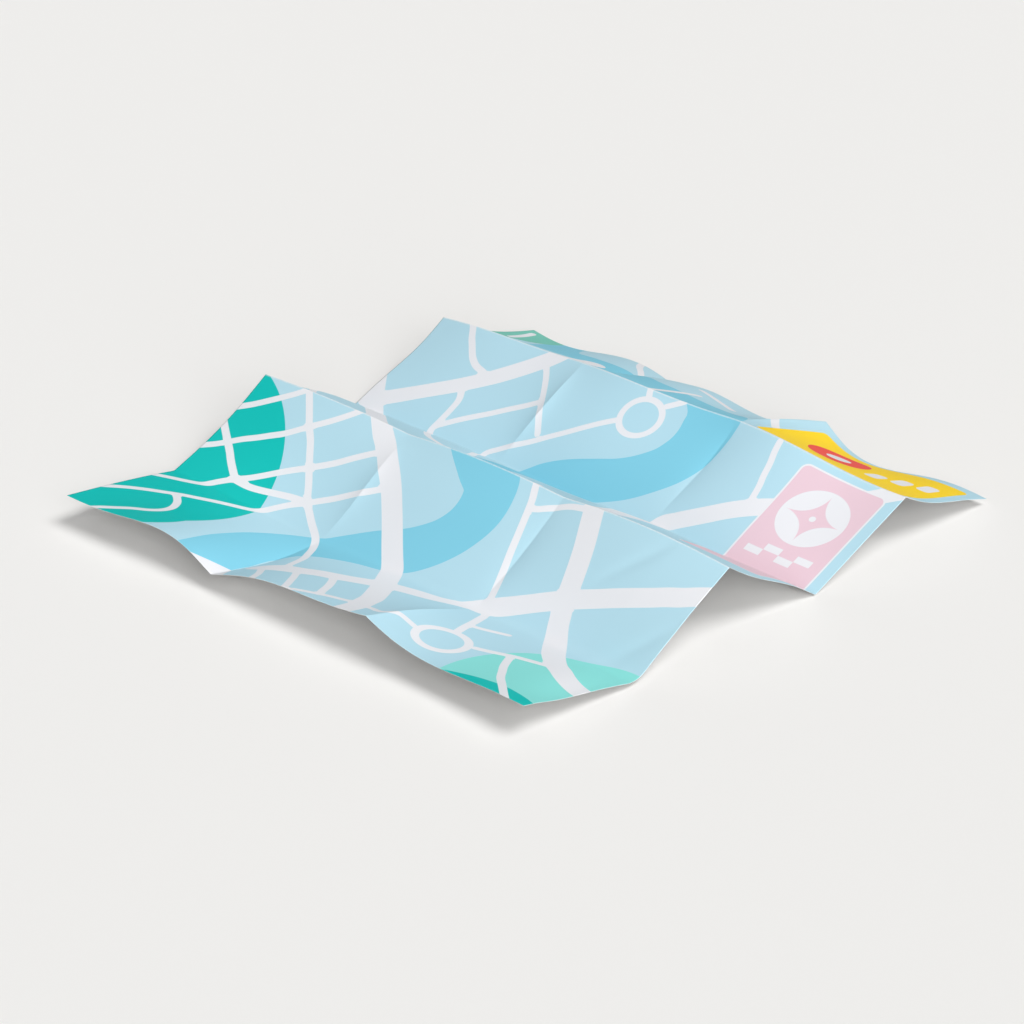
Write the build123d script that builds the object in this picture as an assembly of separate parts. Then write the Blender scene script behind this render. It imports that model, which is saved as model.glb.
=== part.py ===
"""Folded paper map: one printed sheet, opened out from its folds and left standing in a zigzag.

X runs along the long folds, Y from the front edge to the back edge and +Z up.
The sheet is folded into five strips across Y and three columns along X.
Every height is the underside's height above the table.
"""
from build123d import *
import math
import os

os.makedirs("parts", exist_ok=True)

# The sheet as it was cut and folded
STRIP_WIDTH = 100.0
COLUMN_WIDTH = 148.0
PAPER_THICKNESS = 0.15

# Heights where the cross folds and side edges, from left to right, meet each fold
FRONT_EDGE_HEIGHTS = (22.0, 11.0, 31.0, 23.0)
VALLEY_1_HEIGHTS = (6.0, 0.0, 0.0, 2.0)
RIDGE_1_HEIGHTS = (51.5, 51.5, 52.5, 51.5)
VALLEY_2_HEIGHTS = (0.0, 0.5, 2.5, 0.0)
RIDGE_2_HEIGHTS = (41.0, 50.0, 51.0, 39.0)
BACK_EDGE_HEIGHTS = (3.0, 6.0, 18.5, 4.0)

# How far the paper bows up between two cross folds, and how far that bow leans to the left
FRONT_EDGE_BOWS = (9.0, 4.0, -8.0)
FRONT_EDGE_LEANS = (-3.0, 2.0, -2.0)
VALLEY_1_BOWS = (0.0, 1.0, -0.5)
VALLEY_1_LEANS = (1.0, 0.0, 0.0)
RIDGE_1_BOWS = (2.0, 3.0, 4.0)
VALLEY_2_BOWS = (1.0, -1.0, 0.5)
RIDGE_2_BOWS = (1.0, 1.0, 0.5)
RIDGE_2_LEANS = (1.0, 1.0, 2.0)
BACK_EDGE_BOWS = (2.0, -3.0, -8.0)
BACK_EDGE_LEANS = (-3.0, 5.0, -4.0)
STRAIGHT = (0.0, 0.0, 0.0)

# How far each strip bows up between its two folds, at the side edges and cross folds,
# and how far that bow leans to the front
STRIP_A_BOWS = (1.0, -2.0, 1.0, 2.0)
STRIP_A_LEANS = (0.0, 0.5, 0.0, -1.0)
STRIP_B_BOWS = (-3.0, -1.0, -1.0, 1.0)
STRIP_B_LEANS = (0.0, -1.0, 0.0, 0.0)
STRIP_C_BOWS = (0.0, -1.0, 0.0, 0.0)
STRIP_C_LEANS = (-1.0, -1.0, 0.0, -1.0)
STRIP_D_BOWS = (-2.0, 0.0, -2.0, 0.0)
STRIP_D_LEANS = (1.0, 0.0, 1.0, 0.0)
STRIP_E_BOWS = (-5.0, 0.0, 0.0, -2.5)
STRIP_E_LEANS = (0.0, -1.0, 0.0, -1.0)

# Flat facets that follow the curve of each panel
FACETS_PER_COLUMN = 8
FACETS_PER_STRIP = 8
# The steepest that the paper may climb, as a rise over its own length
STEEPEST = 0.97

FOLD_HEIGHTS = (
    FRONT_EDGE_HEIGHTS,
    VALLEY_1_HEIGHTS,
    RIDGE_1_HEIGHTS,
    VALLEY_2_HEIGHTS,
    RIDGE_2_HEIGHTS,
    BACK_EDGE_HEIGHTS,
)
FOLD_BOWS = (
    FRONT_EDGE_BOWS,
    VALLEY_1_BOWS,
    RIDGE_1_BOWS,
    VALLEY_2_BOWS,
    RIDGE_2_BOWS,
    BACK_EDGE_BOWS,
)
FOLD_LEANS = (
    FRONT_EDGE_LEANS,
    VALLEY_1_LEANS,
    STRAIGHT,
    STRAIGHT,
    RIDGE_2_LEANS,
    BACK_EDGE_LEANS,
)
STRIP_BOWS = (STRIP_A_BOWS, STRIP_B_BOWS, STRIP_C_BOWS, STRIP_D_BOWS, STRIP_E_BOWS)
STRIP_LEANS = (STRIP_A_LEANS, STRIP_B_LEANS, STRIP_C_LEANS, STRIP_D_LEANS, STRIP_E_LEANS)

STRIPS = len(STRIP_BOWS)
COLUMNS = len(FRONT_EDGE_BOWS)
MIDDLE_RIDGE = STRIPS // 2


def between(start, end, share):
    """A value the given share of the way from start to end."""
    return start + (end - start) * share


def bowed(bow, lean, share):
    """The rise of a bow over a span, nothing at both of its ends."""
    return bow * math.sin(math.pi * share) + lean * math.sin(2 * math.pi * share)


def cell_of(place, count):
    """The whole cell that a place falls in, and its share of the way through."""
    cell = min(int(place), count - 1)
    return cell, place - cell


def fold_height(fold, along):
    """The height of a fold or long edge, along being counted in columns."""
    column, share = cell_of(along, COLUMNS)
    ends = FOLD_HEIGHTS[fold][column : column + 2]
    bow = bowed(FOLD_BOWS[fold][column], FOLD_LEANS[fold][column], share)
    return between(*ends, share) + bow


def strip_rise(strip, along, share):
    """How far a strip stands off the straight line between its two folds."""
    column, part = cell_of(along, COLUMNS)
    bow = between(*STRIP_BOWS[strip][column : column + 2], part)
    lean = between(*STRIP_LEANS[strip][column : column + 2], part)
    return bowed(bow, lean, share)


def sheet_height(along, across):
    """The height of a point counted in columns from the left and strips from the front."""
    strip, share = cell_of(across, STRIPS)
    folds = fold_height(strip, along), fold_height(strip + 1, along)
    return between(*folds, share) + strip_rise(strip, along, share)


def level_run(length, *rises):
    """How far a short length of paper reaches once it rises or turns aside."""
    climbed = math.hypot(*rises)
    return math.sqrt(length**2 - min(climbed, STEEPEST * length) ** 2)


def running_total(steps):
    """Places along a line, from its steps, beginning at nothing."""
    places = [0.0]
    for step in steps:
        places.append(places[-1] + step)
    return places


def drape():
    """The underside as a grid of points, so that the folded paper keeps its own length."""
    stations = COLUMNS * FACETS_PER_COLUMN
    rungs = STRIPS * FACETS_PER_STRIP
    facet_x = COLUMN_WIDTH / FACETS_PER_COLUMN
    facet_y = STRIP_WIDTH / FACETS_PER_STRIP
    heights = [
        [sheet_height(i / FACETS_PER_COLUMN, j / FACETS_PER_STRIP) for j in range(rungs + 1)]
        for i in range(stations + 1)
    ]
    depths = []
    for line in heights:
        runs = [level_run(facet_y, line[j + 1] - line[j]) for j in range(rungs)]
        places = running_total(runs)
        ridge = places[MIDDLE_RIDGE * FACETS_PER_STRIP]
        depths.append([place - ridge for place in places])
    reaches = []
    for j in range(rungs + 1):
        runs = [
            level_run(
                facet_x,
                heights[i + 1][j] - heights[i][j],
                depths[i + 1][j] - depths[i][j],
            )
            for i in range(stations)
        ]
        places = running_total(runs)
        reaches.append([place - places[-1] / 2 for place in places])
    return [
        [Vector(reaches[j][i], depths[i][j], heights[i][j]) for j in range(rungs + 1)]
        for i in range(stations + 1)
    ]


def facet_normal(points, i, j):
    """The upward normal of one facet, or nothing where the sheet has ended."""
    if not (0 <= i < len(points) - 1 and 0 <= j < len(points[0]) - 1):
        return None
    rising = points[i + 1][j + 1] - points[i][j]
    falling = points[i][j + 1] - points[i + 1][j]
    return rising.cross(falling).normalized()


def raised(points, thickness):
    """The grid moved up by the paper's thickness, measured square to every facet."""
    top = []
    for i, line in enumerate(points):
        top.append([])
        for j, point in enumerate(line):
            around = [(i - 1, j - 1), (i - 1, j), (i, j - 1), (i, j)]
            normals = [facet_normal(points, *cell) for cell in around]
            normals = [normal for normal in normals if normal]
            mean = sum(normals, Vector(0, 0, 0)).normalized()
            squareness = sum(mean.dot(normal) for normal in normals) / len(normals)
            top[-1].append(point + mean * (thickness / squareness))
    return top


def halves(a, b, c, d):
    """Two flat triangles that fill the four-cornered patch a, b, c, d."""
    return [Face(Wire.make_polygon(corners)) for corners in ((a, b, c), (a, c, d))]


def rim_of(points):
    """The corners of the sheet's outline, once round."""
    last_i = len(points) - 1
    last_j = len(points[0]) - 1
    ring = [(i, 0) for i in range(last_i)]
    ring += [(last_i, j) for j in range(last_j)]
    ring += [(i, last_j) for i in range(last_i, 0, -1)]
    ring += [(0, j) for j in range(last_j, 0, -1)]
    return ring


def folded_sheet():
    """The whole sheet as one solid, its underside resting on the table."""
    under = drape()
    top = raised(under, PAPER_THICKNESS)
    faces = []
    for i in range(len(under) - 1):
        for j in range(len(under[0]) - 1):
            cell = ((i, j), (i + 1, j), (i + 1, j + 1), (i, j + 1))
            faces += halves(*(top[a][b] for a, b in cell))
            faces += halves(*(under[a][b] for a, b in cell))
    ring = rim_of(under)
    for (a, b), (c, d) in zip(ring, ring[1:] + ring[:1]):
        faces += halves(under[a][b], under[c][d], top[c][d], top[a][b])
    return Solid(Shell(faces))


def settled(solid):
    """The solid with the middle of its footprint at the origin and its lowest point at zero."""
    box = solid.bounding_box()
    middle = box.center()
    return solid.moved(Location((-middle.X, -middle.Y, -box.min.Z)))


map_sheet = settled(folded_sheet())
export_step(map_sheet, "parts/map_sheet.step")
print("map_sheet", map_sheet.is_valid, round(map_sheet.volume, 1), map_sheet.bounding_box())
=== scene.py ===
"""A folded paper map, opened out and left standing in a low zigzag on a table.

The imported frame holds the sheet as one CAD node. This script stands a finer sheet in its place, draped by
the same named heights, prints a street plan on it and lights it as in the photograph.

Lengths of the map and its print are in millimetres, measured on the flat sheet from its front left corner.
"""

import bisect
import logging
import math
from dataclasses import dataclass
from enum import Enum

import bmesh
import bpy
from mathutils import Matrix, Vector

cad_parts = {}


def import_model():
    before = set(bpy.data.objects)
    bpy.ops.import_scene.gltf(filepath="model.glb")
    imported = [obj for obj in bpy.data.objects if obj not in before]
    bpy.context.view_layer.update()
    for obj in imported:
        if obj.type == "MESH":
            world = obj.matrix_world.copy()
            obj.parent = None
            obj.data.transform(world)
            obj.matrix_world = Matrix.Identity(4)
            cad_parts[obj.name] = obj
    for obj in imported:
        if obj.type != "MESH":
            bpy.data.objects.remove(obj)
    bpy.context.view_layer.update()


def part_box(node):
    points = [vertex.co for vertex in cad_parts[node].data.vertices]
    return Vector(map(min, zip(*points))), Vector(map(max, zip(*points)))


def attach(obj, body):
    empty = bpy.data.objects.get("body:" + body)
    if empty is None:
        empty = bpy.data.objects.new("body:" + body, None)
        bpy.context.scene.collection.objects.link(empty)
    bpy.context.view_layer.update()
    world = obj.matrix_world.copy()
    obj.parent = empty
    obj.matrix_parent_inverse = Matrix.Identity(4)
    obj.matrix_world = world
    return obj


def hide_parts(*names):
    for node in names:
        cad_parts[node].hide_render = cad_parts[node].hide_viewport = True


LOG = logging.getLogger("map")
MM = 0.001
Point = tuple[float, float]
Triple = tuple[float, float, float]
Quad = tuple[float, float, float, float]


def srgb(red: int, green: int, blue: int) -> Quad:
    """Turn a screen colour into the linear colour that shaders use.

    Args:
        red: Red from 0 to 255.
        green: Green from 0 to 255.
        blue: Blue from 0 to 255.

    Returns:
        The linear colour with an alpha of 1.
    """
    parts = [channel / 255 for channel in (red, green, blue)]
    linear = [c / 12.92 if c <= 0.04045 else ((c + 0.055) / 1.055) ** 2.4 for c in parts]
    return (linear[0], linear[1], linear[2], 1.0)


def between(start: float, end: float, share: float) -> float:
    """Return the value the given share of the way from start to end."""
    return start + (end - start) * share


class Ink(Enum):
    """The printer's inks and the bare paper, as they look in plain light, save one green that holds painted
    shade.
    """

    LAND = srgb(181, 219, 233)
    WATER = srgb(130, 205, 227)
    PARK = srgb(0, 191, 184)
    GARDEN = srgb(139, 225, 219)
    # Painted shade: this green was read off the back-facing strip E, so it is darker than its ink in plain
    # light.
    WOOD = srgb(122, 200, 184)
    STREET = srgb(232, 233, 237)
    COVER = srgb(255, 217, 42)
    LEGEND = srgb(230, 201, 212)
    MARKER = srgb(243, 82, 76)
    PAPER = srgb(238, 239, 240)


class Value:
    """The output of a node, with sums and comparisons written as Python."""

    def __init__(self, graph: "Graph", socket: bpy.types.NodeSocket) -> None:
        """Wrap a socket of a graph.

        Args:
            graph: The graph that the socket belongs to.
            socket: The output socket.
        """
        self.graph = graph
        self.socket = socket

    def math(self, operation: str, *others: "Value | float", clamp: bool = False) -> "Value":
        """Add one Math node that reads this value first.

        Args:
            operation: The Math node's operation.
            others: Its other operands.
            clamp: Whether the result is kept between 0 and 1.

        Returns:
            The node's output.
        """
        settings = {"operation": operation, "use_clamp": clamp}
        return self.graph.node("ShaderNodeMath", settings, dict(enumerate((self, *others))))

    def __add__(self, other: "Value | float") -> "Value":
        """Return the sum."""
        return self.math("ADD", other)

    def __radd__(self, other: float) -> "Value":
        """Return the sum."""
        return self.math("ADD", other)

    def __sub__(self, other: "Value | float") -> "Value":
        """Return the difference."""
        return self.math("SUBTRACT", other)

    def __rsub__(self, other: float) -> "Value":
        """Return the difference from a plain number."""
        return self.graph.node("ShaderNodeMath", {"operation": "SUBTRACT"}, {0: other, 1: self})

    def __mul__(self, other: "Value | float") -> "Value":
        """Return the product."""
        return self.math("MULTIPLY", other)

    def __rmul__(self, other: float) -> "Value":
        """Return the product."""
        return self.math("MULTIPLY", other)

    def __truediv__(self, other: "Value | float") -> "Value":
        """Return the quotient."""
        return self.math("DIVIDE", other)

    def __abs__(self) -> "Value":
        """Return the size without its sign."""
        return self.math("ABSOLUTE")

    def __pow__(self, other: "Value | float") -> "Value":
        """Return the power."""
        return self.math("POWER", other)


class Graph:
    """The node graph of a material or of the sky."""

    def __init__(self, owner: bpy.types.Material | bpy.types.World) -> None:
        """Empty the owner's graph.

        Args:
            owner: The material or world that the graph belongs to.
        """
        self.owner = owner
        owner.use_nodes = True
        self.tree = owner.node_tree
        self.tree.nodes.clear()

    def node(
        self,
        kind: str,
        settings: dict[str, object] | None = None,
        inputs: dict[int | str, object] | None = None,
        output: int | str = 0,
    ) -> Value:
        """Add a node, set it and feed it.

        Args:
            kind: The node's type.
            settings: Its own settings, set before its sockets.
            inputs: Values or links, by socket name or place.
            output: The output that is wanted.

        Returns:
            That output, wrapped.
        """
        made = self.tree.nodes.new(kind)
        for key, setting in (settings or {}).items():
            setattr(made, key, setting)
        for key, value in (inputs or {}).items():
            if isinstance(value, Value):
                self.tree.links.new(value.socket, made.inputs[key])
            else:
                made.inputs[key].default_value = value
        return Value(self, made.outputs[output])

    def mix(self, share: Value, under: "Value | Quad", over: "Value | Quad") -> Value:
        """Lay one colour over another where the share is 1.

        Args:
            share: How far the upper colour covers.
            under: The colour below.
            over: The colour on top.

        Returns:
            The mixed colour.
        """
        settings = {"data_type": "RGBA", "blend_type": "MIX"}
        return self.node("ShaderNodeMix", settings, {0: share, 6: under, 7: over}, 2)

    def attribute(self, name: str) -> Value:
        """Return a number that the mesh holds at each corner of its grid."""
        return self.node("ShaderNodeAttribute", {"attribute_name": name}, output="Fac")

    def noise(self, place: Value, size: float, detail: float) -> Value:
        """Return noise whose largest features are about the given size.

        Args:
            place: Where the noise is read, in millimetres.
            size: The size of its features in millimetres.
            detail: How many finer layers it has.

        Returns:
            Noise around 0.5.
        """
        inputs = {"Vector": place, "Scale": 1 / size, "Detail": detail, "Roughness": 0.55}
        return self.node("ShaderNodeTexNoise", {"noise_dimensions": "3D"}, inputs, "Fac")

    def close(self, shader: Value) -> bpy.types.Material | bpy.types.World:
        """Join the shader to the output.

        Args:
            shader: The finished shader.

        Returns:
            The graph's owner.
        """
        kind = "World" if isinstance(self.owner, bpy.types.World) else "Material"
        made = self.tree.nodes.new("ShaderNodeOutput" + kind)
        self.tree.links.new(shader.socket, made.inputs["Surface"])
        return self.owner


@dataclass(frozen=True)
class Crossings:
    """Heights and bows of one long fold or long edge, from left to right.

    Attributes:
        heights: Its height at the left edge, the two cross folds and the right edge.
        bows: How far it bows up in each column.
        leans: How far each bow leans to the left.
    """

    heights: Quad
    bows: Triple = (0.0, 0.0, 0.0)
    leans: Triple = (0.0, 0.0, 0.0)


@dataclass(frozen=True)
class Strip:
    """How a strip bows up between its two long folds, at the side edges and cross folds.

    Attributes:
        bows: Its bow at the left edge, the two cross folds and the right edge.
        leans: How far each bow leans to the front.
        creases: How far each cross fold stands proud of its panels, or sinks below them.
    """

    bows: Quad = (0.0, 0.0, 0.0, 0.0)
    leans: Quad = (0.0, 0.0, 0.0, 0.0)
    creases: Point = (1.3, 1.3)


@dataclass(frozen=True)
class Dent:
    """A soft crease that runs across a panel.

    Attributes:
        start: One end.
        end: The other end.
        depth: How far it is pressed in.
        reach: How far to its sides it fades.
    """

    start: Point
    end: Point
    depth: float
    reach: float

    def at(self, place: Point) -> float:
        """Return the height that the dent takes away at a place."""
        across, along = measure(place, self.start, self.end)
        fade = math.sin(math.pi * min(max(along, 0.0), 1.0))
        return -self.depth * fade * math.exp(-((across / self.reach) ** 2))


def measure(place: Point, start: Point, end: Point) -> tuple[float, float]:
    """Measure a place against a straight run.

    Args:
        place: The place.
        start: Where the run starts.
        end: Where it ends.

    Returns:
        The distance to the nearest point of the run, and how far along that point is from 0 to 1.
    """
    run_x, run_y = end[0] - start[0], end[1] - start[1]
    off_x, off_y = place[0] - start[0], place[1] - start[1]
    length = run_x * run_x + run_y * run_y
    along = min(max((off_x * run_x + off_y * run_y) / length, 0.0), 1.0)
    return math.hypot(off_x - run_x * along, off_y - run_y * along), along


@dataclass
class FoldedSheet:
    """The sheet of paper and the way that it stands.

    Attributes:
        strip_width: The depth of a panel, from long fold to long fold.
        column_width: The width of a panel, from cross fold to cross fold.
        thickness: The paper's thickness.
        cells_per_strip: Mesh cells across each strip.
        cells_per_column: Mesh cells along each column.
        fold_cells: How many of those lie close to each fold.
        fold_cell: The size of a cell there.
        cross_reach: How far to its sides a cross fold lifts or sinks the paper.
        steepest: The steepest that the paper may climb, as a rise over its own length.
        folds: The long edges and folds, from front to back.
        softness: How far to its sides each of them is rounded over, at its left and right ends.
        strips: The strips between them.
        dents: Soft creases from handling.
    """

    strip_width: float = 100.0
    column_width: float = 148.0
    thickness: float = 0.15
    cells_per_strip: int = 45
    cells_per_column: int = 66
    fold_cells: int = 3
    fold_cell: float = 0.8
    cross_reach: float = 9.0
    steepest: float = 0.97
    folds: tuple[Crossings, ...] = (
        Crossings((22.0, 11.0, 31.0, 23.0), (9.0, 4.0, -8.0), (-3.0, 2.0, -2.0)),
        Crossings((6.0, 0.0, 0.0, 2.0), (0.0, 1.0, -0.5), (1.0, 0.0, 0.0)),
        Crossings((51.5, 51.5, 52.5, 51.5), (2.0, 3.0, 4.0)),
        Crossings((0.0, 0.5, 2.5, 0.0), (1.0, -1.0, 0.5)),
        Crossings((41.0, 50.0, 51.0, 39.0), (1.0, 1.0, 0.5), (1.0, 1.0, 2.0)),
        Crossings((3.0, 6.0, 18.5, 4.0), (2.0, -3.0, -8.0), (-3.0, 5.0, -4.0)),
    )
    softness: tuple[Point, ...] = ((0.0, 0.0), (1.5, 7.0), (0.0, 0.0), (1.0, 1.0), (0.0, 0.0), (0.0, 0.0))
    strips: tuple[Strip, ...] = (
        Strip((1.0, -2.0, 1.0, 2.0), (0.0, 0.5, 0.0, -1.0), (2.2, 1.3)),
        Strip((-3.0, -1.0, -1.0, 1.0), (0.0, -1.0, 0.0, 0.0), (1.6, 1.4)),
        Strip((0.0, -1.0, 0.0, 0.0), (-1.0, -1.0, 0.0, -1.0)),
        Strip((-2.0, 0.0, -2.0, 0.0), (1.0, 0.0, 1.0, 0.0), (1.9, 1.5)),
        Strip((-5.0, 0.0, 0.0, -2.5), (0.0, -1.0, 0.0, -1.0)),
    )
    dents: tuple[Dent, ...] = (
        Dent((360.0, 144.0), (404.0, 206.0), 0.5, 5.0),
        Dent((406.0, 92.0), (450.0, 156.0), 0.5, 5.0),
        Dent((444.0, 12.0), (444.0, 98.0), 2.5, 20.0),
    )

    @property
    def columns(self) -> int:
        """The number of columns."""
        return len(self.folds[0].bows)

    @property
    def width(self) -> float:
        """The flat sheet's width."""
        return self.columns * self.column_width

    @property
    def depth(self) -> float:
        """The flat sheet's depth."""
        return len(self.strips) * self.strip_width

    @staticmethod
    def bowed(bow: float, lean: float, share: float) -> float:
        """Return the rise of a bow over a span, nothing at both of its ends."""
        return bow * math.sin(math.pi * share) + lean * math.sin(2 * math.pi * share)

    def fold_height(self, fold: int, column: int, share: float) -> float:
        """Work out the height of a long fold.

        Args:
            fold: Which long fold or edge, from the front.
            column: Which column, from the left.
            share: How far along that column.

        Returns:
            The height in millimetres.
        """
        line = self.folds[fold]
        straight = between(line.heights[column], line.heights[column + 1], share)
        return straight + self.bowed(line.bows[column], line.leans[column], share)

    def cross_rise(self, x: float, strip: int, share: float) -> float:
        """Work out how the cross folds lift or sink the paper beside them.

        Args:
            x: How far from the left edge.
            strip: Which strip, from the front.
            share: How far across that strip.

        Returns:
            The rise, up on a mountain fold and down on a valley fold.
        """
        rise = 0.0
        for fold in range(1, self.columns):
            lift = self.strips[strip].creases[fold - 1]
            side = 1 if (strip + fold) % 2 == 0 else -1
            rise += side * lift * math.exp(-abs(x - fold * self.column_width) / self.cross_reach)
        return rise * math.sin(math.pi * share)

    def height(self, x: float, y: float) -> float:
        """Work out the sharp-folded height of a point of the flat sheet.

        Args:
            x: How far from the left edge.
            y: How far from the front edge.

        Returns:
            The height in millimetres.
        """
        x = min(max(x, 0.0), self.width)
        y = min(max(y, 0.0), self.depth)
        column = min(int(x / self.column_width), self.columns - 1)
        strip = min(int(y / self.strip_width), len(self.strips) - 1)
        along = x / self.column_width - column
        share = y / self.strip_width - strip
        curve = self.strips[strip]
        bow = between(curve.bows[column], curve.bows[column + 1], along)
        lean = between(curve.leans[column], curve.leans[column + 1], along)
        front = self.fold_height(strip, column, along)
        back = self.fold_height(strip + 1, column, along)
        folded = between(front, back, share) + self.bowed(bow, lean, share)
        return folded + self.cross_rise(x, strip, share) + sum(dent.at((x, y)) for dent in self.dents)

    def soft_height(self, x: float, y: float) -> float:
        """Return the height with the soft folds rounded over, at a point of the flat sheet."""
        strip = min(int(y / self.strip_width), len(self.strips) - 1)
        share = y / self.strip_width - strip
        front, back = (between(*self.softness[strip + k], x / self.width) for k in (0, 1))
        reach = between(front, back, share)
        steps = (-1.0, -0.5, 0.0, 0.5, 1.0)
        return sum(self.height(x, y + step * reach) for step in steps) / len(steps)

    def ladder(self, panels: int, size: float, cells: int) -> list[float]:
        """Place the mesh lines along one side of the flat sheet, closer together at the folds.

        Args:
            panels: The number of panels along that side.
            size: The size of each panel.
            cells: The number of cells in each.

        Returns:
            The place of every line, from 0 to the far edge.
        """
        near = [self.fold_cell * n for n in range(self.fold_cells)]
        edge = self.fold_cell * self.fold_cells
        inner = cells - 2 * self.fold_cells
        far = [size - place for place in reversed(near[1:])]
        middle = [edge + (size - 2 * edge) * n / inner for n in range(inner + 1)]
        lines = [panel * size + place for panel in range(panels) for place in near + middle + far]
        return lines + [panels * size]

    @property
    def stations(self) -> list[float]:
        """The mesh lines' places from the left edge."""
        return self.ladder(self.columns, self.column_width, self.cells_per_column)

    @property
    def rungs(self) -> list[float]:
        """The mesh lines' places from the front edge."""
        return self.ladder(len(self.strips), self.strip_width, self.cells_per_strip)

    def run(self, length: float, *rises: float) -> float:
        """Return how far a short length of paper reaches once it rises or turns aside."""
        climbed = min(math.hypot(*rises), self.steepest * length)
        return math.sqrt(length**2 - climbed**2)

    def drape(self) -> list[list[Vector]]:
        """Stand the sheet up, so that the paper keeps its own length.

        Returns:
            Rows of points from left to right, each from the front edge to the back edge.
        """
        xs, ys = self.stations, self.rungs
        heights = [[self.soft_height(x, y) for y in ys] for x in xs]
        middle = len(self.strips) // 2 * self.cells_per_strip
        depths: list[list[float]] = []
        for line in heights:
            places = [0.0]
            for j in range(len(ys) - 1):
                places.append(places[-1] + self.run(ys[j + 1] - ys[j], line[j + 1] - line[j]))
            depths.append([place - places[middle] for place in places])
        reaches: list[list[float]] = []
        for j in range(len(ys)):
            places = [0.0]
            for i in range(len(xs) - 1):
                rise = heights[i + 1][j] - heights[i][j]
                aside = depths[i + 1][j] - depths[i][j]
                places.append(places[-1] + self.run(xs[i + 1] - xs[i], rise, aside))
            reaches.append([place - places[-1] / 2 for place in places])
        return [
            [Vector((reaches[j][i], depths[i][j], heights[i][j])) for j in range(len(ys))]
            for i in range(len(xs))
        ]

    def placed(self, low: Vector, high: Vector) -> list[list[Vector]]:
        """Drape the sheet where the CAD node lies.

        Args:
            low: The node's lowest corner in metres.
            high: Its highest corner in metres.

        Returns:
            The top face's points in metres.
        """
        grid = self.drape()
        points = [point for line in grid for point in line]
        middle = [(min(p[k] for p in points) + max(p[k] for p in points)) / 2 for k in (0, 1)]
        floor = min(point.z for point in points)
        offset = Vector((middle[0], middle[1], floor - self.thickness))
        home = Vector(((low.x + high.x) / 2, (low.y + high.y) / 2, low.z))
        return [[(point - offset) * MM + home for point in line] for line in grid]


@dataclass(frozen=True)
class Road:
    """A street or river on the plan.

    Attributes:
        width: Its width.
        points: The points that its middle passes through.
        widths: Its width at each point, where that changes.
    """

    width: float
    points: tuple[Point, ...]
    widths: tuple[float, ...] = ()

    def runs(self, pieces: int = 6) -> list[tuple[Point, Point, float, float]]:
        """Divide the smooth line through the points into short straight runs.

        Args:
            pieces: Runs between two points.

        Returns:
            Each run's start, end, and half widths there.
        """
        widths = self.widths or (self.width,) * len(self.points)
        if len(self.points) == 2:
            return [(*self.points, widths[0] / 2, widths[1] / 2)]
        ends = (self.points[0], *self.points, self.points[-1])
        line: list[tuple[Point, float]] = []
        for n in range(len(self.points) - 1):
            for piece in range(pieces):
                share = piece / pieces
                half = between(widths[n], widths[n + 1], share) / 2
                line.append((spline(ends[n : n + 4], share), half))
        line.append((self.points[-1], widths[-1] / 2))
        return [(a, b, wide_a, wide_b) for (a, wide_a), (b, wide_b) in zip(line, line[1:])]


def spline(points: tuple[Point, ...], share: float) -> Point:
    """Return a point on the smooth curve between the middle two of four points.

    Args:
        points: Four points.
        share: How far from the second to the third.

    Returns:
        The point on the curve.
    """
    a, b, c, d = points

    def part(k: int) -> float:
        """Return one coordinate."""
        straight = 2 * b[k] + (c[k] - a[k]) * share
        bend = (2 * a[k] - 5 * b[k] + 4 * c[k] - d[k]) * share**2
        return 0.5 * (straight + bend + (3 * b[k] - a[k] - 3 * c[k] + d[k]) * share**3)

    return part(0), part(1)


AVENUE = 15.5
STREET = 5.6
LANE = 5.0

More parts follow.
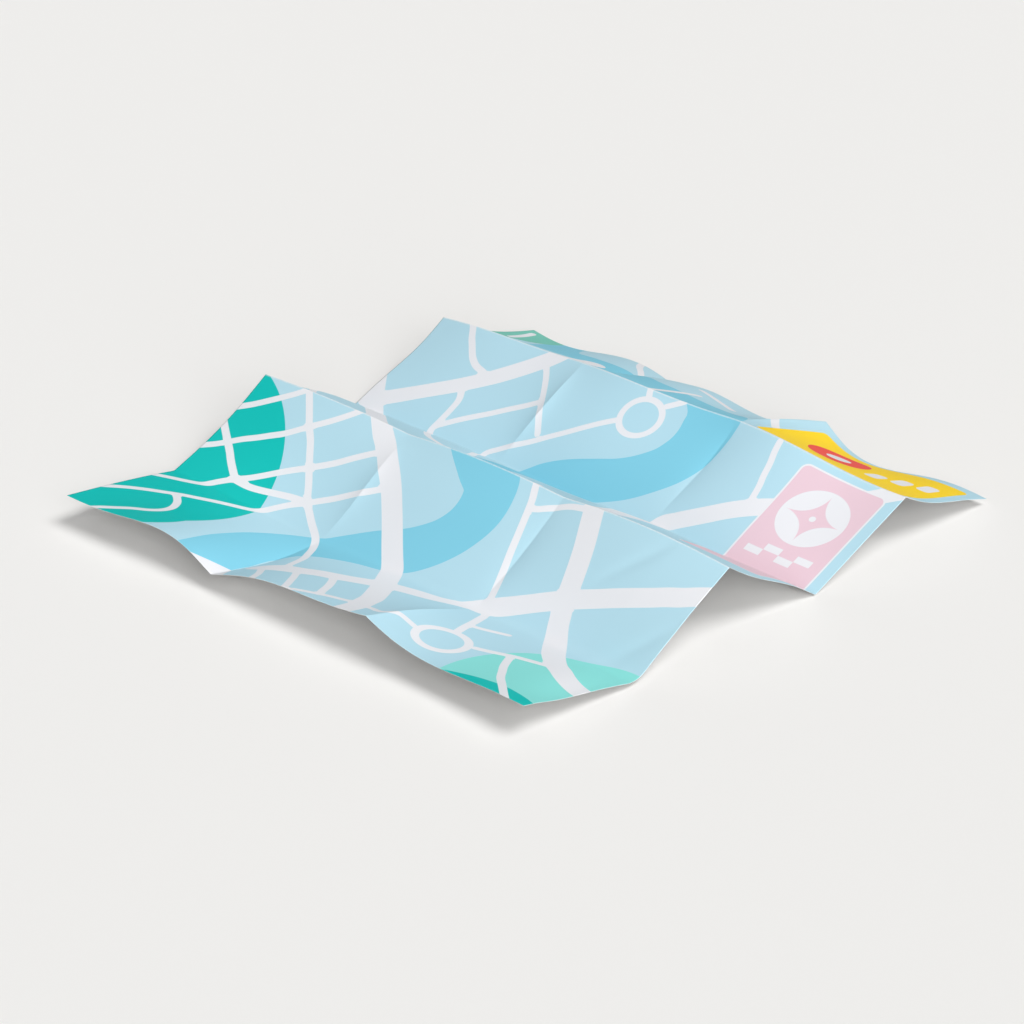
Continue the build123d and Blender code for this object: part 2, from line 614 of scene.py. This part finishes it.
AVENUES: tuple[Road, ...] = (
    Road(
        AVENUE,
        (
            (-12.0, 338.0), (0.0, 323.0), (10.0, 311.0), (19.5, 300.0), (70.0, 249.0), (122.0, 198.0),
            (131.0, 190.0), (140.0, 183.0), (150.0, 173.5), (160.0, 164.0), (170.0, 153.5), (180.0, 142.0),
            (190.0, 130.5), (200.0, 119.0), (210.0, 108.0), (218.0, 99.5), (225.0, 90.0), (232.5, 80.0),
            (240.0, 70.0), (247.0, 60.0), (254.0, 50.0), (260.5, 40.0), (265.0, 30.0), (269.5, 20.0),
            (272.0, 10.0), (273.5, 0.0), (275.0, -10.0),
        ),
    ),
    Road(
        AVENUE,
        (
            (6.0, 308.5), (17.0, 314.0), (30.0, 322.5), (40.0, 329.5), (50.0, 336.5), (60.0, 343.5),
            (70.0, 351.0), (80.0, 359.0), (90.0, 367.5), (101.0, 377.5), (111.0, 387.0), (122.0, 398.5),
            (128.0, 411.0), (130.0, 430.0),
        ),
        (16.0, 15.5, 15.5, 15.0, 15.0, 15.0, 15.0, 15.0, 15.5, 15.5, 15.5, 16.0, 18.0, 20.0),
    ),
    Road(
        AVENUE,
        (
            (158.0, 30.0), (164.0, 33.0), (172.0, 37.5), (180.0, 40.0),
            (190.0, 43.0), (200.0, 49.0), (210.0, 53.5), (220.0, 59.5), (230.0, 67.0), (240.0, 74.0),
            (250.0, 79.0), (260.0, 83.0), (270.0, 87.0), (280.0, 93.0), (286.0, 96.5), (293.0, 101.0),
            (303.0, 104.5), (311.0, 108.0), (320.0, 113.0), (330.0, 118.5), (340.0, 124.0), (355.0, 131.5),
            (370.0, 138.0), (380.0, 142.5), (390.0, 147.0), (400.0, 151.5), (410.0, 156.0), (420.0, 161.0),
            (430.0, 165.5), (440.0, 171.0), (456.0, 179.0),
        ),
        (
            12.0, 18.0, 20.0, 19.0,
            18.0, 16.5, 16.0, 15.0, 15.0, 15.0,
            14.5, 14.5, 13.5, 11.0, 9.0, 10.5,
            16.0, 17.5, 16.5, 16.0, 16.0, 16.0,
            15.5, 15.5, 15.5, 15.5, 15.5, 15.5,
            15.5, 15.5, 15.5,
        ),
    ),
    Road(AVENUE, ((148.0, 18.5), (144.0, -4.0)), (0.0, 42.0)),
    Road(
        AVENUE,
        (
            (460.0, 416.0), (440.0, 403.0), (428.5, 394.0), (416.5, 384.0), (405.0, 376.0), (390.0, 365.5),
            (375.0, 355.5), (360.0, 346.5), (350.0, 340.0), (340.0, 332.5), (330.0, 324.0), (320.0, 316.0),
            (310.0, 308.0), (302.0, 299.0), (300.0, 270.0), (310.0, 236.0), (325.0, 199.0), (327.5, 193.0),
            (332.5, 182.5), (337.5, 172.0), (342.5, 160.0), (347.0, 148.0), (350.5, 138.0), (354.0, 127.0),
            (358.0, 119.0), (362.5, 110.0), (369.5, 100.0), (378.0, 90.0), (387.0, 80.5), (401.0, 69.0),
            (411.0, 63.5), (420.0, 58.5), (431.0, 54.5), (443.0, 52.0), (456.0, 50.0),
        ),
        (14.5,) * 7 + (15.5,) * 6 + (16.0,) * 16 + (15.0,) * 6,
    ),
)

STREETS: tuple[Road, ...] = (
    Road(
        STREET,
        (
            (-6.0, 28.0), (0.0, 34.5), (10.0, 46.0), (20.0, 55.0), (30.0, 62.5), (40.0, 70.0), (50.0, 76.0),
            (60.0, 82.5), (70.0, 88.5), (80.0, 94.5), (88.0, 101.0), (95.0, 108.0), (103.0, 115.0),
            (113.0, 121.5), (120.0, 126.5), (130.0, 133.0), (140.0, 140.0), (150.0, 146.0), (160.0, 152.5),
        ),
    ),
    Road(
        STREET,
        (
            (39.0, 66.0), (46.0, 60.5), (52.0, 54.0), (57.5, 44.0), (58.0, 34.0), (53.5, 26.0), (45.0, 19.5),
            (37.0, 11.0), (30.0, 3.5), (26.0, -3.0),
        ),
    ),
    Road(
        STREET,
        (
            (-6.0, 78.0), (0.0, 81.5), (10.0, 87.0), (20.0, 92.0), (30.0, 98.0), (40.0, 107.0), (49.0, 114.0),
            (57.5, 119.5), (64.5, 125.0), (73.0, 132.0), (81.0, 138.0), (94.0, 146.5), (110.0, 157.0),
            (120.0, 165.0), (130.0, 172.5), (138.0, 178.0),
        ),
    ),
    Road(STREET, ((-6.0, 158.0), (0.0, 152.0), (16.0, 139.5), (25.0, 132.5), (35.0, 124.0), (49.0, 113.5))),
    Road(
        STREET,
        (
            (-6.0, 125.5), (0.0, 129.0), (10.0, 134.5), (25.0, 145.0), (35.0, 150.5), (45.0, 156.5),
            (55.0, 162.5), (69.0, 174.0), (83.0, 185.0), (97.0, 198.5), (110.0, 214.0),
        ),
    ),
    Road(
        STREET,
        (
            (-6.0, 165.5), (0.0, 169.0), (10.0, 174.5), (22.0, 182.5), (32.0, 189.5), (42.0, 197.5),
            (58.0, 214.0), (68.0, 225.0), (78.0, 238.0),
        ),
    ),
    Road(
        STREET,
        (
            (-8.0, 262.0), (6.0, 246.0), (24.0, 226.0), (47.0, 199.0), (55.0, 190.0), (62.0, 182.0),
            (69.0, 174.0), (78.0, 165.0), (86.0, 155.0), (94.0, 145.0), (102.0, 135.5), (113.0, 122.0),
            (120.0, 116.5), (130.0, 109.0), (143.0, 100.0), (152.0, 89.5), (158.0, 79.5), (163.5, 70.0),
            (167.0, 60.0), (171.0, 50.0), (177.0, 42.0),
        ),
    ),
    Road(
        STREET,
        ((49.0, 113.5), (60.0, 113.0), (70.0, 114.0), (90.0, 118.5), (100.0, 120.5), (113.0, 122.0)),
    ),
    Road(LANE, ((163.0, 33.0), (174.0, 21.0), (181.0, 12.0), (190.0, -3.0))),
    Road(LANE, ((190.5, 40.0), (195.5, 33.0), (202.5, 24.0), (208.5, 15.5), (214.5, 7.0), (220.5, -3.0))),
    Road(STREET, ((214.0, 50.0), (222.0, 40.0), (229.0, 30.0), (234.5, 20.5), (240.0, 12.0))),
    Road(
        LANE,
        (
            (220.0, -3.0), (223.5, 2.0), (230.0, 6.5), (236.0, 10.0), (245.0, 15.0), (255.0, 18.5),
            (262.0, 20.5), (280.0, 20.5), (288.0, 18.5), (293.0, 19.5), (299.0, 28.5), (315.0, 28.5),
        ),
    ),
    Road(STREET, ((308.0, 99.0), (313.0, 88.5), (318.5, 76.5), (323.5, 63.5), (328.5, 51.0))),
    Road(LANE, ((323.0, 70.0), (330.0, 73.5), (340.0, 79.5), (344.5, 82.0))),
    Road(LANE, ((352.0, 44.0), (360.0, 47.5), (370.0, 52.5), (378.0, 56.0), (385.0, 58.0), (400.0, 62.5))),
    Road(
        STREET,
        (
            (376.0, 53.0), (379.5, 47.0), (385.5, 38.0), (391.5, 31.0), (399.5, 22.0), (409.0, 14.0),
            (418.0, 6.5), (430.0, -3.0),
        ),
    ),
    Road(
        STREET,
        (
            (267.0, 209.0), (271.5, 197.5), (275.5, 189.0), (278.5, 180.0), (281.5, 170.0), (284.5, 160.0),
            (287.5, 150.0), (291.0, 140.0), (294.5, 130.0), (298.0, 120.0), (301.0, 110.0),
        ),
    ),
    Road(
        LANE,
        ((280.0, 182.5), (285.0, 184.5), (290.0, 187.5), (300.0, 192.5), (310.0, 195.5), (330.0, 197.5)),
    ),
    Road(
        STREET,
        (
            (-8.0, 445.0), (0.0, 435.0), (9.0, 424.5), (18.0, 414.5), (28.0, 405.5), (35.0, 397.5),
            (40.5, 390.0), (46.0, 384.0), (51.0, 378.5), (55.5, 374.0), (61.0, 370.0), (66.0, 367.5),
            (73.0, 365.5), (80.0, 363.0),
        ),
    ),
    Road(
        STREET,
        (
            (69.0, 348.0), (72.5, 342.5), (76.5, 335.0), (77.5, 325.0), (77.5, 314.0), (77.0, 305.0),
            (78.5, 300.0), (84.0, 292.0), (93.0, 281.0), (112.0, 261.0), (130.0, 252.0), (151.0, 250.0),
        ),
    ),
    Road(
        STREET,
        (
            (78.0, 308.0), (90.0, 319.0), (100.0, 327.0), (110.0, 334.5), (120.0, 342.5), (130.0, 349.5),
            (142.0, 358.0),
        ),
    ),
    Road(
        LANE,
        ((118.0, 391.0), (121.0, 387.0), (129.0, 377.0), (139.0, 362.5), (149.0, 347.5), (160.0, 332.5)),
    ),
    Road(
        LANE,
        (
            (210.0, 368.0), (200.0, 360.5), (190.0, 352.0), (180.0, 343.0), (170.0, 334.5), (160.0, 325.5),
            (150.0, 317.5), (140.0, 309.5), (132.5, 302.0), (134.0, 292.0), (139.0, 283.0), (147.0, 270.0),
            (151.0, 255.0), (149.0, 240.0), (141.0, 224.0), (132.0, 206.0), (126.0, 196.0),
        ),
    ),
    Road(
        LANE,
        ((220.0, 393.5), (217.0, 399.5), (213.0, 413.0), (210.0, 428.0), (210.0, 445.0), (213.0, 460.0)),
    ),
    Road(LANE, ((237.0, 391.5), (248.0, 400.0))),
    Road(
        LANE,
        ((337.0, 398.0), (338.5, 389.5), (341.5, 380.0), (344.0, 369.5), (347.0, 360.5), (349.5, 349.0)),
    ),
    Road(LANE, ((353.0, 294.0), (357.5, 285.0), (366.0, 266.0))),
    Road(STREET, ((8.0, 492.0), (11.0, 480.0), (13.0, 470.0), (15.0, 461.0))),
    Road(STREET, ((112.0, 505.0), (120.0, 493.0), (128.0, 484.0), (136.0, 477.0), (147.0, 467.0))),
    Road(STREET, ((196.0, 482.0), (212.0, 477.0), (228.0, 471.0), (242.0, 463.0))),
    Road(
        7.0,
        ((250.0, 506.0), (262.0, 487.0), (276.0, 468.0), (288.0, 451.0), (297.0, 440.0), (309.0, 428.0)),
    ),
)

RIVER = Road(
    40.0,
    (
        (40.0, 508.0), (58.0, 470.0), (82.0, 436.0), (115.0, 437.0), (150.0, 441.0), (180.0, 425.0),
        (210.0, 423.5), (240.0, 423.0), (260.0, 415.0), (275.5, 401.5), (278.0, 389.0), (278.5, 380.0),
        (278.0, 369.5), (276.0, 360.0), (271.0, 347.5), (262.5, 337.0), (252.5, 328.0), (240.5, 321.0),
        (226.5, 315.0), (212.5, 309.0), (200.5, 302.5), (190.5, 294.5), (178.0, 275.0), (180.0, 245.0),
        (198.0, 220.0), (225.0, 198.5), (237.5, 189.0), (243.0, 178.0), (245.0, 164.0), (242.0, 149.5),
        (234.5, 135.5), (222.5, 123.0), (207.5, 113.0), (190.0, 106.5), (172.5, 98.0), (158.5, 90.5),
        (141.0, 80.0), (129.5, 60.0), (127.5, 35.0), (128.5, 10.0), (131.0, -20.0),
    ),
    (
        24.0, 36.0, 46.0, 36.0, 36.0, 46.0,
        46.5, 43.0, 36.5, 43.5, 42.5, 40.5,
        40.0, 40.5, 41.0, 41.0, 41.0, 40.0,
        40.0, 40.0, 40.0, 39.0, 40.0, 42.0,
        42.0, 43.0, 41.5, 40.5, 40.0, 38.5,
        38.5, 40.0, 40.5, 37.5, 33.5, 30.0,
        33.0, 36.5, 40.0, 38.5, 38.0,
    ),
)


# Each green's centre, radius and ink, the later ones printed over the earlier
GREENS: tuple[tuple[Point, float, Ink], ...] = (
    # The first two lie on strip E and use the green with painted shade.
    ((2.0, 488.0), 36.0, Ink.WOOD),
    ((75.0, 408.0), 8.0, Ink.WOOD),
    ((-54.0, 70.0), 142.5, Ink.PARK),
    ((34.0, 28.0), 49.5, Ink.PARK),
    ((443.0, 23.5), 80.5, Ink.GARDEN),
    ((415.0, -80.0), 93.0, Ink.PARK),
)

# Each roundabout's centre, radius and width of road
ROUNDABOUTS: tuple[tuple[Point, float, float], ...] = (
    ((333.5, 33.5), 17.3, 5.8),
    ((225.0, 376.5), 16.0, 5.0),
)


@dataclass
class StreetPlan:
    """Distances from the edges of the streets and the river, worked out over the sheet's grid.

    Attributes:
        sheet: The sheet that the plan is printed on.
        beyond: The distance given to places that are further off.
    """

    sheet: FoldedSheet
    beyond: float = 6.0

    def distances(self, roads: tuple[Road, ...]) -> list[list[float]]:
        """Measure the grid against some roads.

        Args:
            roads: The roads.

        Returns:
            How far each point is outside the nearest road, less than 0 inside one.
        """
        xs, ys = self.sheet.stations, self.sheet.rungs
        found = [[self.beyond] * len(ys) for _ in xs]
        for road in roads:
            for start, end, half_a, half_b in road.runs():
                margin = max(half_a, half_b) + self.beyond
                for i in self.near(xs, start[0], end[0], margin):
                    for j in self.near(ys, start[1], end[1], margin):
                        off, along = measure((xs[i], ys[j]), start, end)
                        off -= between(half_a, half_b, along)
                        found[i][j] = min(found[i][j], off)
        return found

    @staticmethod
    def near(lines: list[float], start: float, end: float, margin: float) -> range:
        """Return the mesh lines that a run may touch."""
        first = bisect.bisect_left(lines, min(start, end) - margin)
        return range(first, bisect.bisect_right(lines, max(start, end) + margin))


@dataclass
class Print:
    """Shapes drawn by the shader, in millimetres on the flat sheet.

    Attributes:
        graph: The graph that draws them.
        place: The place on the flat sheet.
        blur: How wide an ink's edge is.
    """

    graph: Graph
    place: Value
    blur: float = 0.35

    def part(self, axis: str) -> Value:
        """Return one coordinate of the place."""
        return self.graph.node("ShaderNodeSeparateXYZ", inputs={0: self.place}, output=axis)

    def inside(self, distance: Value) -> Value:
        """Return 1 inside an edge and 0 outside it, from the distance to the edge."""
        return distance.math("MULTIPLY_ADD", -1 / self.blur, 0.5, clamp=True)

    def disc(self, centre: Point, radius: float) -> Value:
        """Return the distance from a disc's edge.

        Args:
            centre: Its centre.
            radius: Its radius.

        Returns:
            The distance, less than 0 inside.
        """
        inputs = {0: self.place, 1: (*centre, 0.0)}
        away = self.graph.node("ShaderNodeVectorMath", {"operation": "DISTANCE"}, inputs, "Value")
        return away - radius

    def ring(self, centre: Point, radius: float, width: float) -> Value:
        """Return the distance from a ring's edges, radius being to the middle of its line."""
        return abs(self.disc(centre, radius)) - width / 2

    def card(self, low: Point, high: Point, corner: float) -> Value:
        """Return the distance from the edge of a card with rounded corners.

        Args:
            low: Its front left corner.
            high: Its back right corner.
            corner: The radius of its corners.

        Returns:
            The distance, less than 0 inside.
        """
        middle = ((low[0] + high[0]) / 2, (low[1] + high[1]) / 2, 0.0)
        half = ((high[0] - low[0]) / 2 - corner, (high[1] - low[1]) / 2 - corner, 0.0)
        off = self.vector("SUBTRACT", self.place, middle)
        over = self.vector("SUBTRACT", self.vector("ABSOLUTE", off), half)
        outside = self.vector("MAXIMUM", over, (0.0, 0.0, 0.0))
        length = self.graph.node("ShaderNodeVectorMath", {"operation": "LENGTH"}, {0: outside}, "Value")
        return length - corner

    def vector(self, operation: str, *parts: "Value | Triple") -> Value:
        """Add one Vector Math node and return its output."""
        settings = {"operation": operation}
        return self.graph.node("ShaderNodeVectorMath", settings, dict(enumerate(parts)))

    def star(self, centre: Point, reach: float) -> Value:
        """Return the distance scale of a four-pointed compass star.

        Args:
            centre: Its centre.
            reach: From its centre to a point.

        Returns:
            A value that is less than 0 inside the star.
        """
        off = self.vector("ABSOLUTE", self.vector("SUBTRACT", self.place, (*centre, 0.0)))
        x = self.graph.node("ShaderNodeSeparateXYZ", inputs={0: off}, output="X")
        y = self.graph.node("ShaderNodeSeparateXYZ", inputs={0: off}, output="Y")
        waist = (x / reach) ** 0.55 + (y / reach) ** 0.55
        return (waist - 1.0) * (reach * 0.4)


@dataclass(frozen=True)
class PrintedPaper:
    """The front of the map: inks on smooth uncoated paper.

    Attributes:
        roughness: How matt the sheet is.
        grain: How deep the paper's fibres are, in millimetres.
        wear_and_highlight: How far the ink is lightened towards paper white along a standing fold, from 0 to
            1: partly ink rubbed off, partly a painted highlight on the fold's crest.
        wear_and_highlight_reach: How far to its sides a standing fold is lightened, in millimetres.
        legend_card: The pink card's front left and back right corners.
        cover_card: The yellow cover's front left and back right corners.
        card_corner: The radius of both cards' corners.
        border: The width of the pale line round the pink card.
        compass: The middle of the compass.
        marker: The middle of the place marker.
    """

    roughness: float = 0.62
    grain: float = 0.012
    wear_and_highlight: float = 0.5
    wear_and_highlight_reach: float = 1.3
    legend_card: tuple[Point, Point] = ((364.5, 245.0), (433.5, 392.0))
    cover_card: tuple[Point, Point] = ((309.0, 403.0), (436.0, 489.0))
    card_corner: float = 5.0
    border: float = 1.4
    compass: Point = (398.5, 355.0)
    marker: Point = (353.0, 450.0)

    def build(self, sheet: FoldedSheet) -> bpy.types.Material:
        """Make the material.

        Args:
            sheet: The sheet, for its panels' sizes.

        Returns:
            The printed paper.
        """
        graph = Graph(bpy.data.materials.new("printed_paper"))
        flat = graph.node("ShaderNodeUVMap", {"uv_map": "flat"})
        settings = {"operation": "MULTIPLY"}
        size = {0: flat, 1: (sheet.width, sheet.depth, 1.0)}
        ink = Print(graph, graph.node("ShaderNodeVectorMath", settings, size))
        colour = self.rubbed_and_highlit(graph, ink, sheet, self.plan(graph, ink))
        fibre = graph.noise(ink.place, 0.9, 3.0)
        cloud = graph.noise(ink.place, 60.0, 2.0)
        rough = self.roughness + (fibre - 0.5) * 0.10 + (cloud - 0.5) * 0.06
        bump = {"Strength": 1.0, "Distance": self.grain * MM, "Height": fibre}
        normal = graph.node("ShaderNodeBump", inputs=bump)
        inputs = {"Base Color": colour, "Roughness": rough, "Normal": normal, "IOR": 1.45}
        inputs["Specular IOR Level"] = 0.35
        return graph.close(graph.node("ShaderNodeBsdfPrincipled", inputs=inputs))

    def plan(self, graph: Graph, ink: Print) -> Value:
        """Print the plan's fields and streets, then the two cards.

        Args:
            graph: The material's graph.
            ink: What draws the shapes.

        Returns:
            The printed colour.
        """
        colour = graph.mix(ink.inside(graph.attribute("river")), Ink.LAND.value, Ink.WATER.value)
        for centre, radius, tone in GREENS:
            colour = graph.mix(ink.inside(ink.disc(centre, radius)), colour, tone.value)
        streets = graph.attribute("streets")
        for centre, radius, width in ROUNDABOUTS:
            streets = streets.math("MINIMUM", ink.ring(centre, radius, width))
        colour = graph.mix(ink.inside(streets), colour, Ink.STREET.value)
        return self.cover(graph, ink, self.legend(graph, ink, colour))

    def legend(self, graph: Graph, ink: Print, colour: Value) -> Value:
        """Print the pink card: a compass over a scale bar of alternate blocks.

        Args:
            graph: The material's graph.
            ink: What draws the shapes.
            colour: The colour below.

        Returns:
            The colour with the card on it.
        """
        card = ink.card(*self.legend_card, self.card_corner)
        colour = graph.mix(ink.inside(card - self.border), colour, Ink.STREET.value)
        colour = graph.mix(ink.inside(card), colour, Ink.LEGEND.value)
        marks = ink.disc(self.compass, 26.0)
        for step in range(4):
            front = 311.0 + 6.0 * (step % 2)
            block = ink.card((372.5 + 13.0 * step, front), (385.5 + 13.0 * step, front + 6.0), 0.4)
            marks = marks.math("MINIMUM", block)
        colour = graph.mix(ink.inside(marks), colour, Ink.STREET.value)
        colour = graph.mix(ink.inside(ink.star(self.compass, 23.0)), colour, Ink.LEGEND.value)
        return graph.mix(ink.inside(ink.disc(self.compass, 2.5)), colour, Ink.STREET.value)

    def cover(self, graph: Graph, ink: Print, colour: Value) -> Value:
        """Print the yellow cover: a place marker and a dashed route.

        Args:
            graph: The material's graph.
            ink: What draws the shapes.
            colour: The colour below.

        Returns:
            The colour with the cover on it.
        """
        card = ink.card(*self.cover_card, self.card_corner)
        colour = graph.mix(ink.inside(card), colour, Ink.COVER.value)
        colour = graph.mix(ink.inside(ink.disc(self.marker, 23.0)), colour, Ink.MARKER.value)
        marks = ink.disc(self.marker, 9.0)
        for x, y in ((386.0, 430.0), (401.0, 440.0), (416.0, 450.0)):
            marks = marks.math("MINIMUM", ink.card((x, y), (x + 11.0, y + 18.0), 4.0))
        return graph.mix(ink.inside(marks), colour, Ink.STREET.value)

    def rubbed_and_highlit(self, graph: Graph, ink: Print, sheet: FoldedSheet, colour: Value) -> Value:
        """Lighten the ink towards paper white along the standing folds: ink rubbed thin there, and a painted
        highlight on the folds' crests.

        Args:
            graph: The material's graph.
            ink: What draws the shapes.
            sheet: The sheet, for its panels' sizes.
            colour: The printed colour.

        Returns:
            The colour with the pale fold lines: rubbed ink and painted highlight.
        """
        specks = graph.noise(ink.place, 2.2, 3.0)
        away = abs(abs(ink.part("Y") - 3 * sheet.strip_width) - sheet.strip_width)
        near = away.math("MULTIPLY_ADD", -1.0, self.wear_and_highlight_reach, clamp=True)
        # Painted highlight on the crests of the standing folds, together with ink rubbed thin there: the ink
        # is mixed towards paper white.
        worn_and_highlit = (near * specks * (2 * self.wear_and_highlight)).math("ADD", 0.0, clamp=True)
        return graph.mix(worn_and_highlit, colour, Ink.PAPER.value)


@dataclass(frozen=True)
class BarePaper:
    """The back of the map and its cut edge: unprinted paper.

    Attributes:
        roughness: How matt it is.
        grain: How deep its fibres are, in millimetres.
    """

    roughness: float = 0.7
    grain: float = 0.015

    def build(self) -> bpy.types.Material:
        """Make the material.

        Returns:
            The bare paper.
        """
        graph = Graph(bpy.data.materials.new("bare_paper"))
        place = graph.node("ShaderNodeTexCoord", output="Object")
        millimetres = graph.node("ShaderNodeVectorMath", {"operation": "SCALE"}, {0: place, "Scale": 1 / MM})
        fibre = graph.noise(millimetres, 1.0, 3.0)
        cloud = graph.noise(millimetres, 25.0, 2.0)
        pale = graph.mix((cloud - 0.5) * 0.6 + 0.3, Ink.PAPER.value, srgb(228, 229, 229))
        bump = {"Strength": 1.0, "Distance": self.grain * MM, "Height": fibre}
        normal = graph.node("ShaderNodeBump", inputs=bump)
        rough = self.roughness + (fibre - 0.5) * 0.12
        inputs = {"Base Color": pale, "Roughness": rough, "Normal": normal, "Specular IOR Level": 0.3}
        return graph.close(graph.node("ShaderNodeBsdfPrincipled", inputs=inputs))


@dataclass
class MapPiece:
    """The finished map, which stands for the CAD node.

    Attributes:
        node: The CAD node that it replaces.
        slot: The record's material slot; not used.
        sheet: The sheet's shape.
        front: The finish of the printed side.
        back: The finish of the back and the cut edge.
    """

    node: str
    slot: str
    sheet: FoldedSheet
    front: PrintedPaper
    back: BarePaper

    def mesh(self) -> bpy.types.Mesh:
        """Drape a grid as the sheet stands, with its flat places and the plan's distances.

        Returns:
            The mesh of the printed side.
        """
        low, high = (Vector(corner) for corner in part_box(self.node))
        points = self.sheet.placed(low, high)
        plan = StreetPlan(self.sheet)
        layers = {"streets": plan.distances(AVENUES + STREETS), "river": plan.distances((RIVER,))}
        xs, ys = self.sheet.stations, self.sheet.rungs
        shape = bmesh.new()
        flat = shape.loops.layers.uv.new("flat")
        bmesh.ops.create_grid(shape, x_segments=len(xs) - 1, y_segments=len(ys) - 1, size=0.5)
        marks = {name: shape.verts.layers.float.new(name) for name in layers}
        for face in shape.faces:
            face.smooth = True
            for loop in face.loops:
                i, j = self.cell(loop.vert, len(xs) - 1, len(ys) - 1)
                loop[flat].uv = (xs[i] / self.sheet.width, ys[j] / self.sheet.depth)
        for vert in shape.verts:
            i, j = self.cell(vert, len(xs) - 1, len(ys) - 1)
            vert.co = points[i][j]
            for name, mark in marks.items():
                vert[mark] = layers[name][i][j]
        made = bpy.data.meshes.new("printed_map")
        shape.to_mesh(made)
        shape.free()
        return made

    @staticmethod
    def cell(vert: bmesh.types.BMVert, columns: int, rows: int) -> tuple[int, int]:
        """Return which lines of the unmoved grid a corner lies on."""
        return round((vert.co.x + 0.5) * columns), round((vert.co.y + 0.5) * rows)

    def build(self) -> bpy.types.Object:
        """Make the piece, dress it and put it in the CAD node's place.

        Returns:
            The finished piece.
        """
        piece = bpy.data.objects.new("printed_map", self.mesh())
        bpy.context.scene.collection.objects.link(piece)
        piece.data.materials.append(self.front.build(self.sheet))
        piece.data.materials.append(self.back.build())
        paper = piece.modifiers.new("paper", "SOLIDIFY")
        paper.thickness = self.sheet.thickness * MM
        paper.offset = -1.0
        paper.material_offset = 1
        paper.material_offset_rim = 1
        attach(piece, "root")
        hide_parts(self.node)
        LOG.info("%s: %d cells", piece.name, len(piece.data.polygons))
        return piece


@dataclass(frozen=True)
class Sun:
    """A soft light from far off.

    Attributes:
        name: Its name.
        strength: The light that it gives to a surface that faces it.
        bearing: Where it comes from, in degrees from +X.
        height: How high it stands, in degrees.
        spread: How wide it looks, in degrees.
    """

    name: str
    strength: float
    bearing: float
    height: float
    spread: float


@dataclass
class Studio:
    """The pale table, the soft lights and the camera.

    Attributes:
        table: The colour of the table.
        reach: Half the table's width in metres.
        sky: The strength of the light from all round.
        suns: The soft lights from one side each.
        aim: The spot on the table at the middle of the view, in millimetres.
        distance: From that spot to the camera, in millimetres.
        bearing: The camera's bearing from that spot, in degrees from +X.
        elevation: The camera's height above that spot, in degrees.
        roll: How far the camera is turned about its view, in degrees.
        focal: The camera's focal length in pixels of the 1024-pixel frame.
        frame: The frame's width in pixels.
    """

    table: Quad = srgb(240, 239, 237)
    reach: float = 30.0
    sky: float = 0.05
    suns: tuple[Sun, ...] = (
        Sun("key", 2.0, 16.0, 58.0, 32.0),
        Sun("low", 1.85, 324.0, 14.0, 44.0),
        Sun("side", 0.6, 336.0, 36.0, 40.0),
        Sun("top", 0.5, 160.0, 68.0, 60.0),
    )
    aim: Point = (-12.6, -4.3)
    distance: float = 2709.9
    bearing: float = -45.0
    elevation: float = 25.944
    roll: float = -0.626
    focal: float = 3921.7
    frame: int = 1024

    def build_table(self) -> None:
        """Lay the table under the map."""
        shape = bmesh.new()
        bmesh.ops.create_grid(shape, x_segments=1, y_segments=1, size=self.reach)
        made = bpy.data.meshes.new("table")
        shape.to_mesh(made)
        shape.free()
        table = bpy.data.objects.new("table", made)
        bpy.context.scene.collection.objects.link(table)
        graph = Graph(bpy.data.materials.new("pale_table"))
        inputs = {"Base Color": self.table, "Roughness": 0.9, "Specular IOR Level": 0.0}
        table.data.materials.append(graph.close(graph.node("ShaderNodeBsdfPrincipled", inputs=inputs)))

    @staticmethod
    def towards(bearing: float, height: float) -> Vector:
        """Return the direction with a bearing and height in degrees."""
        turn, rise = math.radians(bearing), math.radians(height)
        return Vector((math.cos(rise) * math.cos(turn), math.cos(rise) * math.sin(turn), math.sin(rise)))

    def build_light(self) -> None:
        """Light the table softly, with a pale backdrop beyond it."""
        world = bpy.data.worlds.new("sky")
        bpy.context.scene.world = world
        graph = Graph(world)
        glow = graph.node("ShaderNodeBackground", inputs={"Strength": self.sky})
        backdrop = graph.node("ShaderNodeBackground", inputs={"Color": self.table})
        seen = graph.node("ShaderNodeLightPath", output="Is Camera Ray")
        graph.close(graph.node("ShaderNodeMixShader", inputs={0: seen, 1: glow, 2: backdrop}))
        for sun in self.suns:
            lamp = bpy.data.lights.new(sun.name, "SUN")
            lamp.energy = sun.strength
            lamp.angle = math.radians(sun.spread)
            made = bpy.data.objects.new(sun.name, lamp)
            out = self.towards(sun.bearing, sun.height)
            made.rotation_euler = out.to_track_quat("Z", "Y").to_euler()
            made.location = out * 3
            bpy.context.scene.collection.objects.link(made)

    def build_camera(self) -> None:
        """Set the camera where the photograph was taken from."""
        lens = bpy.data.cameras.new("camera")
        lens.sensor_width = 36.0
        lens.lens = self.focal / self.frame * lens.sensor_width
        lens.clip_end = 100.0
        camera = bpy.data.objects.new("camera", lens)
        out = self.towards(self.bearing, self.elevation)
        turn = out.to_track_quat("Z", "Y").to_matrix().to_4x4()
        turn @= Matrix.Rotation(math.radians(self.roll), 4, "Z")
        spot = Vector((*self.aim, 0.0)) * MM + out * self.distance * MM
        camera.matrix_world = Matrix.Translation(spot) @ turn
        bpy.context.scene.collection.objects.link(camera)
        bpy.context.scene.camera = camera

    def build(self) -> None:
        """Build the whole studio."""
        self.build_table()
        self.build_light()
        self.build_camera()
        bpy.context.scene.view_settings.view_transform = "Standard"
        LOG.info("studio: camera %.2f m away", self.distance * MM)


def main() -> None:
    """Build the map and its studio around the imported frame."""
    logging.basicConfig(level=logging.INFO)
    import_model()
    MapPiece("map_sheet", "printed_paper", FoldedSheet(), PrintedPaper(), BarePaper()).build()
    Studio().build()


if __name__ == "__main__":
    main()
